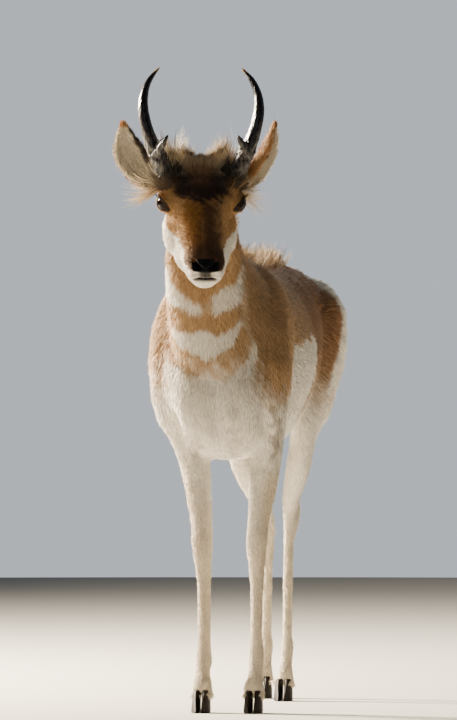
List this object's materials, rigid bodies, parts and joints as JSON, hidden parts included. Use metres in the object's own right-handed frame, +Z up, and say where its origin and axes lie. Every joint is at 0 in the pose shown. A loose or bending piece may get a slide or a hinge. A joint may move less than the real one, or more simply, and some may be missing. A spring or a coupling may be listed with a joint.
{
  "type": "pronghorn figure",
  "caption": "Life-size standing pronghorn buck with turned head, pronged horns, cupped ears, slender legs and cloven hooves.",
  "frame": {"origin": "middle of the overall box at floor level", "axes": "+Z up; the animal faces -Y; its left side is +X"},
  "size_m": [0.2972, 1.1818, 1.2362],
  "materials": {
    "coat_tan": "short dense hair, matt",
    "coat_white": "short dense hair, matt",
    "horn": "dark horn, worn smooth towards the tips",
    "hoof": "dark hoof horn, satin",
    "eye": "wet dark eye, very glossy"
  },
  "bodies": {
    "root": {"eye_left": "eye", "horn_left": "horn", "ear_left": "coat_tan", "eye_right": "eye", "horn_right": "horn", "ear_right": "coat_tan", "head": "coat_tan", "foreleg_left": "coat_white", "hindleg_left": "coat_white", "foreleg_right": "coat_white", "hindleg_right": "coat_white", "tail": "coat_white", "neck": "coat_tan", "torso": "coat_tan", "claw_fore_left_left": "hoof", "claw_fore_left_right": "hoof", "claw_fore_right_left": "hoof", "claw_fore_right_right": "hoof", "claw_hind_left_left": "hoof", "claw_hind_left_right": "hoof", "claw_hind_right_left": "hoof", "claw_hind_right_right": "hoof"}
  },
  "joints": []
}
